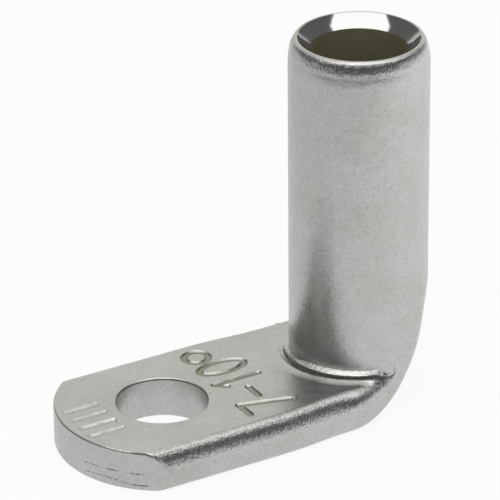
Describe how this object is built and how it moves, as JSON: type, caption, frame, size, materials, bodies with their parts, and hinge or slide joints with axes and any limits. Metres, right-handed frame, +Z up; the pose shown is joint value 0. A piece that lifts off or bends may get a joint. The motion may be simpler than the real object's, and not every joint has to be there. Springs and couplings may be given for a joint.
{
  "type": "angled cable lug",
  "caption": "Right-angle tubular cable lug: a round barrel that is crimped on a cable's end stands square on a flat palm with a stud hole.",
  "frame": {"origin": "centre of the stud hole, on the palm's underside", "axes": "+Z up along the stud and the barrel, +X from the stud hole to the barrel, +Y across the palm"},
  "size_m": [0.029, 0.014, 0.0272],
  "materials": {
    "tinned_copper": "satin tin plating on copper"
  },
  "bodies": {
    "root": {"cable_lug": "tinned_copper"}
  },
  "joints": []
}
